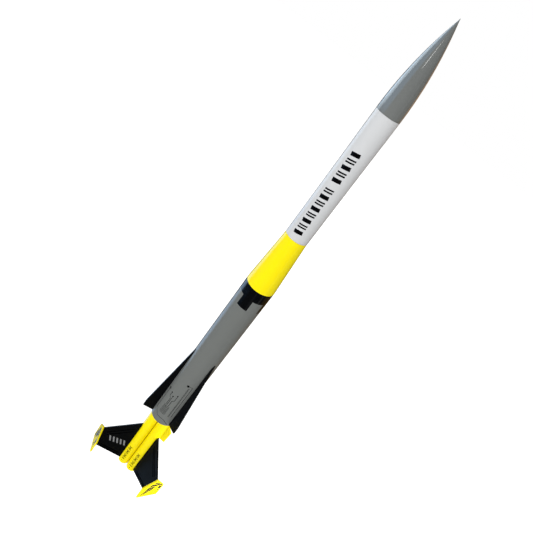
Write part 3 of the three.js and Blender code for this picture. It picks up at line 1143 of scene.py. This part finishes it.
def bend(t, first, middle, last):
    """A number that goes from the first to the last, drawn towards the middle one."""
    return (1 - t) ** 2 * first + 2 * t * (1 - t) * middle + t**2 * last


def glue_bead(seat_radius, seat_at, half, bottom, top, reach=None):
    """Two concave beads where a panel of half thickness meets a round tube, along Z."""
    reach = size("bead") if reach is None else reach
    points, faces = [], []
    rows = 44
    for side in (1, -1):
        rings = []
        for row in range(rows + 1):
            share = row / rows
            height = bottom + (top - bottom) * share
            near_end = min(share, 1 - share) * (top - bottom) / 3.0
            spread = reach * math.sqrt(max(0.02, min(1.0, near_end)))
            foot = half + spread
            seat = seat_at + math.sqrt(seat_radius**2 - foot**2)
            crest = seat_at + seat_radius + spread
            root = seat_at + math.sqrt(seat_radius**2 - half**2)
            section = []
            for step in range(7):
                t = step / 6
                across = bend(t, crest, root + 0.08, seat + 0.02)
                section.append((across, bend(t, half - 0.04, half + 0.05, foot)))
            section += [(seat - 0.2, foot - 0.15), (root - 0.2, half - 0.3)]
            rings.append(add_ring(points, [(across, side * aside, height) for across, aside in section]))
        faces += skin(rings, caps=True)
    return points, faces


class ROCKET_OT_fins(BuildPiece):
    """Black fins with rounded edges, glue beads and trim lines"""

    bl_idname = "rocket.fins"
    bl_label = "Fins"

    def build(self):
        seat = MOTOR_AXIS + MOTOR_RADIUS
        root, tip = seat - 0.1, FIN_TIP - 0.1
        corners = [(root, FIN_ROOT_AFT, 0.5), (tip, FIN_TIP_AFT, 0.5)]
        corners += [(tip, FIN_TIP_FORE, 0.5), (root, FIN_ROOT_FORE + 0.2, 0.6)]
        panel = board(corners, HALF_BALSA * 2, size("panel_edge"))
        bead = glue_bead(MOTOR_RADIUS, MOTOR_AXIS, HALF_BALSA, 3.4, 99.0)
        for number, around in SETS:
            make_piece(f"fin_panel_{number}", panel, "fin", instead=f"fin_{number}", turn=around)
            make_piece(f"fin_bead_{number}", bead, "fin", turn=around)
            points, faces = laid_film(self.trim(11.5, 17.0, 2.1), self.on_face(-HALF_BALSA))
            more_points, more_faces = laid_film(self.trim(14.5, 22.0, 2.1), self.on_face(HALF_BALSA))
            faces += [tuple(index + len(points) for index in face) for face in more_faces]
            make_piece(f"fin_trim_{number}", (points + more_points, faces), "dull_trim", turn=around)
            bars = laid_film(self.bars(), self.on_face(HALF_BALSA))
            make_piece(f"fin_bars_{number}", bars, "silver", turn=around)

    def bars(self):
        """Five slanting bars of equal length across the middle of a fin."""
        foot, top, lean = 34.0, 46.5, 4.5
        return [
            block((x, foot), (x + 2.8, foot), (x + 2.8 + lean, top), (x + lean, top))
            for x in (24.0, 30.4, 36.8, 43.2, 49.6)
        ]

    def on_face(self, side):
        way = math.copysign(1.0, side)
        return lambda across, along, lift: (across, side + way * lift, along)

    def trim(self, first, second, width):
        """Two lines behind the leading edge, two before the trailing edge and ribs between those."""
        lead = (FIN_TIP_FORE - FIN_ROOT_FORE) / (FIN_TIP - FIN_ROOT)
        trail = (FIN_TIP_AFT - FIN_ROOT_AFT) / (FIN_TIP - FIN_ROOT)
        near, far = 26.0, 63.5

        def fore(x, drop):
            return (x, FIN_ROOT_FORE + lead * (x - FIN_ROOT) - drop)

        def aft(x, lift):
            return (x, FIN_ROOT_AFT + trail * (x - FIN_ROOT) + lift)

        strips = [stroke([fore(near, first), fore(far, first)], width)]
        strips.append(stroke([fore(near, second), fore(far - 2, second)], width))
        strips.append(stroke([aft(near, 8.9), aft(60.5, 8.9)], width * 0.8))
        strips.append(stroke([aft(near, 4.4), aft(60.5, 4.4)], width * 0.8))
        for rib in range(15):
            x = near + 2.4 + rib * 2.2
            strips.append(stroke([aft(x, 5.2), aft(x + 0.9, 8.1)], 0.9))
        return strips


class ROCKET_OT_tip_plates(BuildPiece):
    """Yellow tip plates with navy blocks on their outer faces"""

    bl_idname = "rocket.tip_plates"
    bl_label = "Tip plates"

    def build(self):
        outer = highest("tip_plate_1")[1]
        inner = lowest("tip_plate_1")[1]
        thick = outer - inner
        foot, peak = lowest("tip_plate_1")[2], highest("tip_plate_1")[2]
        shoulder = 40.8
        corners = [
            (-19.0, foot, 0.8),
            (19.0, foot, 0.8),
            (20.2, shoulder, 1.2),
            (0.0, peak, 1.6),
            (-20.2, shoulder, 1.2),
        ]
        points, faces = board(corners, thick, size("plate_edge"))
        middle = (outer + inner) / 2
        panel = [(middle + y, x, z) for x, y, z in points], faces
        trim = laid_film(self.blocks(), lambda x, z, lift: (outer + lift, x, z))
        for number, around in SETS:
            make_piece(f"plate_panel_{number}", panel, "yellow", instead=f"tip_plate_{number}", turn=around)
            make_piece(f"plate_trim_{number}", trim, "navy", turn=around)

    def blocks(self):
        """Stepped blocks at the top, slanting stripes below them."""
        strips = [
            block((-4.5, 50.0), (10.4, 48.2), (6.8, 51.6), (-1.2, 53.2)),
            block((-9.2, 42.8), (16.6, 42.8), (13.0, 46.8), (-5.8, 48.4)),
            block((10.6, 32.8), (17.2, 32.8), (17.2, 41.2), (10.6, 41.2)),
            block((11.6, 27.0), (16.2, 27.0), (16.2, 31.0), (11.6, 31.0)),
        ]
        for index in range(4):
            shift, foot = index * 4.1, 17.0 + index * 3.4
            near, far = -8.8 + shift * 0.85, -5.6 + shift * 0.85
            strips.append(block((-14.8 + shift, foot), (-12.9 + shift, foot), (far, 41.2), (near, 41.2)))
        strips += hatch(6.5, 10.5, 21.0, 26.0, 2.4, 1.1)
        return strips


class ROCKET_OT_strakes(BuildPiece):
    """Black strakes along the lower tube"""

    bl_idname = "rocket.strakes"
    bl_label = "Strakes"

    def build(self):
        seat = LOWER_RADIUS - 0.06
        corners = [
            (seat, 139.5, 0.3),
            (39.8, 142.0, 0.5),
            (39.8, 155.0, 0.9),
            (seat + 0.75, 292.0, 0.2),
            (seat, 292.2, 0.2),
        ]
        panel = board(corners, HALF_BALSA * 2, 0.3)
        bead = glue_bead(LOWER_RADIUS, 0.0, HALF_BALSA, 140.5, 289.0, 1.1)
        for number, around in SETS:
            make_piece(f"strake_panel_{number}", panel, "strake", instead=f"strake_{number}", turn=around)
            make_piece(f"strake_bead_{number}", bead, "strake", turn=around)


class ROCKET_OT_launch_lugs(BuildPiece):
    """Two launch lugs on their glue beads"""

    bl_idname = "rocket.launch_lugs"
    bl_label = "Launch lugs"

    def build(self):
        at = polar(LOWER_RADIUS + 0.3 + LUG_RADIUS, math.radians(LUG_AROUND))
        for place in ("aft", "forward"):
            node = f"launch_lug_{place}"
            foot, top = lowest(node)[2], highest(node)[2]
            tube = wall(LUG_RADIUS, LUG_BORE, foot, top, 0.12, 48)
            make_piece(f"lug_{place}", tube, "lug", instead=node, at=at)
            make_piece(f"lug_{place}_bead", self.bead(foot + 1, top - 1), "grey", turn=LUG_AROUND)

    def bead(self, bottom, top):
        """Glue that fills the two valleys between a lug and the tube."""
        centre = LOWER_RADIUS + 3.2
        spots = [(LOWER_RADIUS - 0.15, 0.2), (LOWER_RADIUS - 0.12, 2.5), (LOWER_RADIUS + 0.35, 1.9)]
        spots += [(centre - 1.7, 2.25), (centre - 2.2, 1.6), (centre - 2.75, 0.2)]
        points, faces = [], []
        rows = 20
        for side in (1, -1):
            rings = []
            for row in range(rows + 1):
                share = row / rows
                width = side * (0.6 + 0.4 * min(1.0, 12 * min(share, 1 - share) + 0.3))
                height = bottom + (top - bottom) * share
                rings.append(add_ring(points, [(x, y * width, height) for x, y in spots]))
            faces += skin(rings, caps=True)
        return points, faces


class ROCKET_OT_markings(BuildPiece):
    """Plain blocks, lines and dots of trim film on the tubes"""

    bl_idname = "rocket.markings"
    bl_label = "Markings"

    def build(self):
        upper = laid_film(self.upper_blocks(), on_cylinder(UPPER_RADIUS, FRONT))
        make_piece("upper_tube_trim", upper, "trim")
        lower = laid_film(self.lower_traces(), on_cylinder(LOWER_RADIUS, FRONT))
        make_piece("lower_tube_trim", lower, "trim")
        for number, around in SETS:
            face = around if number == 1 else FRONT
            strips = laid_film(self.motor_marks(), on_cylinder(MOTOR_RADIUS, face), 0.6)
            at = polar(MOTOR_AXIS, math.radians(around))
            make_piece(f"motor_pod_trim_{number}", strips, "trim", at=at)

    def upper_blocks(self):
        """Two runs of slanting stripes up the upper tube, a thick one and then two thin ones."""
        half, rise = 6.2, 1.3
        strips = []
        for first, count in ((549.8, 8), (635.0, 5)):
            for index in range(count):
                height = first + index * 9.8
                stripes = ((height - 1.9, 2.2), (height + 1.9, 2.2)) if index % 2 else ((height, 5.6),)
                for level, thick in stripes:
                    strips.append(stroke([(-half, level - rise), (half, level + rise)], thick))
        return strips

    def lower_traces(self):
        """Narrow lines that each start at a dot, with hatched pads."""
        lines = (
            ((7.6, 236.0), (15.4, 236.0), (15.4, 160.0)),
            ((-15.9, 206.5), (-15.9, 158.5), (-5.4, 149.6), (7.4, 149.6), (17.6, 141.6)),
            ((-7.6, 205.4), (-7.6, 198.0), (-4.2, 194.4), (-4.2, 178.5)),
            ((-2.2, 201.0), (-2.2, 178.5)),
            ((4.2, 207.4), (4.2, 195.2), (1.0, 191.6), (1.0, 178.5)),
        )
        strips = [dot(line[0], radius) for line, radius in zip(lines, (2.1, 2.0, 1.15, 1.15, 1.15))]
        strips += [stroke(line, 0.7) for line in lines]
        strips += hatch(-7.4, 4.2, 159.5, 177.6, 1.8, 0.55)
        strips += hatch(9.9, 12.0, 160.0, 232.5, 1.7, 0.75)
        return strips

    def motor_marks(self):
        """A dot and a short ladder of bars near the aft end of a motor tube."""
        strips = [dot((0.0, 6.0), 0.85)]
        for index in range(13):
            height = 11.0 + index * 2.8
            reach = (3.1, 2.4, 3.1, 1.8)[index % 4]
            strips.append(stroke([(-reach, height), (reach, height)], 2.05))
        return strips


class ROCKET_OT_recovery(BuildPiece):
    """Rolled parachute, flameproof wadding and the anchor of the shock cord"""

    bl_idname = "rocket.recovery"
    bl_label = "Recovery gear"

    def build(self):
        self.wadding()
        self.parachute()
        self.anchor()

    def wadding(self):
        low, high = lowest("wadding")[2], highest("wadding")[2]
        radius = highest("wadding")[0]
        outline = [(0.0, low, 0), (radius, low, 4.0), (radius, high, 4.0), (0.0, high, 0)]
        profile = []
        edge = softened(outline, False, 10)
        for here, after in zip(edge, edge[1:]):
            parts = max(1, round(math.dist(here, after) / 0.7))
            for part in range(parts):
                share = part / parts
                profile.append(tuple(a + (b - a) * share for a, b in zip(here, after)))
        profile.append(edge[-1])
        points, faces = turned(profile, 128, False)
        centre = Vector((0, 0, (low + high) / 2))
        crumpled = []
        for point in points:
            spot = Vector(point)
            fold = abs(noise.noise(spot * 0.22)) * 2.2 + abs(noise.noise(spot * 0.55)) * 0.9
            inward = (centre - spot).normalized()
            crumpled.append(tuple(spot + inward * min(fold, 1.7)))
        piece = make_piece("wad", (crumpled, faces), "tissue", instead="wadding", sharp=70.0)

    def parachute(self):
        low, high = lowest("parachute")[2] + 0.5, highest("parachute")[2] - 0.5
        outer = highest("parachute")[0] - 0.35
        inner, turns, per_turn, rows = 1.3, 23, 72, 18
        points, faces, uvs = [], [], []
        gone = 0.0
        total = turns * per_turn
        for step in range(total + 1):
            share = step / total
            angle = TURN * turns * share
            radius = inner + (outer - inner) * share
            gone += radius * TURN / per_turn
            for row in range(rows + 1):
                level = row / rows
                height = low + (high - low) * level
                lap = 1.0 - 0.10 * abs(2 * level - 1) ** 5
                wrinkle = 0.16 * noise.noise(Vector((*polar(2.4, angle), height * 0.12)))
                wrinkle += 0.05 * noise.noise(Vector((angle * 3, height * 0.5, 3.0)))
                uneven = 0.5 * math.sin(angle * 0.37 + 1.0) * (2 * level - 1)
                points.append((*polar(radius * lap + wrinkle, angle), height + uneven * share))
                uvs.append((gone, height))
        for step in range(total):
            for row in range(rows):
                here = step * (rows + 1) + row
                faces.append((here, here + rows + 1, here + rows + 2, here + 1))
        roll = (points, faces, uvs)
        cloth = make_piece("chute_roll", roll, "cloth", instead="parachute", sharp=60.0)
        middle = (low + high) / 2
        line = []
        for step in range(3 * 48 + 1):
            line.append((*polar(outer + 0.35, TURN * step / 48), middle - 4 + step / 18))
        wrap = make_piece("chute_lines", swept(line, 0.4, 10), "elastic")

    def anchor(self):
        low, high = lowest("shock_cord_mount")[2], highest("shock_cord_mount")[2]
        middle, tall = (low + high) / 2, high - low
        outer, inner = 16.1, 14.2
        half = math.radians(32) * outer
        radius = (outer + inner) / 2
        corners = [(-half, low, 1.5), (half, low, 1.5), (half, high, 1.5), (-half, high, 1.5)]
        outline = softened(corners, steps=5)
        levels = [(0.35, outer), (0.0, outer - 0.3), (0.0, radius + 0.3), (0.25, radius + 0.1)]
        levels += [(0.0, radius - 0.1), (0.0, inner + 0.3), (0.35, inner)]
        points, rings = [], []
        for amount, reach in levels:
            ring = []
            for across, height in outline:
                angle = math.pi + across * (1 - amount / half) / outer
                ring.append((*polar(reach, angle), middle + (height - middle) * (1 - amount / tall * 2)))
            rings.append(add_ring(points, ring))
        faces = skin(rings)
        for ring, reach in ((rings[0], outer), (rings[-1], inner)):
            self.cap(points, faces, ring, reach, middle)
        make_piece("cord_anchor", (points, faces), "card", instead="shock_cord_mount", sharp=50.0)

    def cap(self, points, faces, ring, reach, middle):
        """Closes a curved face with upright strips between its lower and upper edges."""
        order = sorted(ring, key=lambda index: math.atan2(-points[index][1], -points[index][0]))
        below = [index for index in order if points[index][2] < middle]
        above = [index for index in order if points[index][2] >= middle]
        pairs = list(zip(below, above))
        filled = [pairs[0]]
        for near, far in zip(pairs, pairs[1:]):
            gap = math.dist(points[near[0]], points[far[0]])
            if gap > 2:
                parts = round(gap / 0.8)
                for part in range(1, parts):
                    share = part / parts
                    added = []
                    for side in (0, 1):
                        first, last = points[near[side]], points[far[side]]
                        start = math.atan2(-first[1], -first[0])
                        end = math.atan2(-last[1], -last[0])
                        angle = start + (end - start) * share
                        height = first[2] + (last[2] - first[2]) * share
                        points.append((-reach * math.cos(angle), -reach * math.sin(angle), height))
                        added.append(len(points) - 1)
                    filled.append(tuple(added))
            filled.append(far)
        for near, far in zip(filled, filled[1:]):
            faces.append((near[0], far[0], far[1], near[1]))


# ---- panel and start ----

STEPS = (
    ROCKET_OT_stage,
    ROCKET_OT_shock_cord,
    ROCKET_OT_body_tubes,
    ROCKET_OT_transition,
    ROCKET_OT_nose,
    ROCKET_OT_motor_cluster,
    ROCKET_OT_fins,
    ROCKET_OT_tip_plates,
    ROCKET_OT_strakes,
    ROCKET_OT_launch_lugs,
    ROCKET_OT_markings,
    ROCKET_OT_recovery,
)


class ROCKET_PT_panel(bpy.types.Panel):
    """Sidebar panel of the model rocket"""

    bl_idname = "ROCKET_PT_panel"
    bl_label = "Model Rocket"
    bl_space_type = "VIEW_3D"
    bl_region_type = "UI"
    bl_category = "Model Rocket"

    def draw(self, context):
        column = self.layout.column(align=True)
        for step in STEPS:
            column.operator(step.bl_idname)
        column.separator()
        for group in (context.scene.rocket_sizes, context.scene.rocket_colours):
            for key in type(group).__annotations__:
                column.prop(group, key)


CLASSES = (RocketColours, RocketSizes, *STEPS, ROCKET_PT_panel)


def register():
    for kind in CLASSES:
        bpy.utils.register_class(kind)
    bpy.types.Scene.rocket_colours = bpy.props.PointerProperty(type=RocketColours)
    bpy.types.Scene.rocket_sizes = bpy.props.PointerProperty(type=RocketSizes)


def unregister():
    del bpy.types.Scene.rocket_sizes
    del bpy.types.Scene.rocket_colours
    for kind in reversed(CLASSES):
        bpy.utils.unregister_class(kind)


def main():
    register()
    for step in STEPS:
        group, action = step.bl_idname.split(".")
        getattr(getattr(bpy.ops, group), action)()


if __name__ == "__main__":
    main()
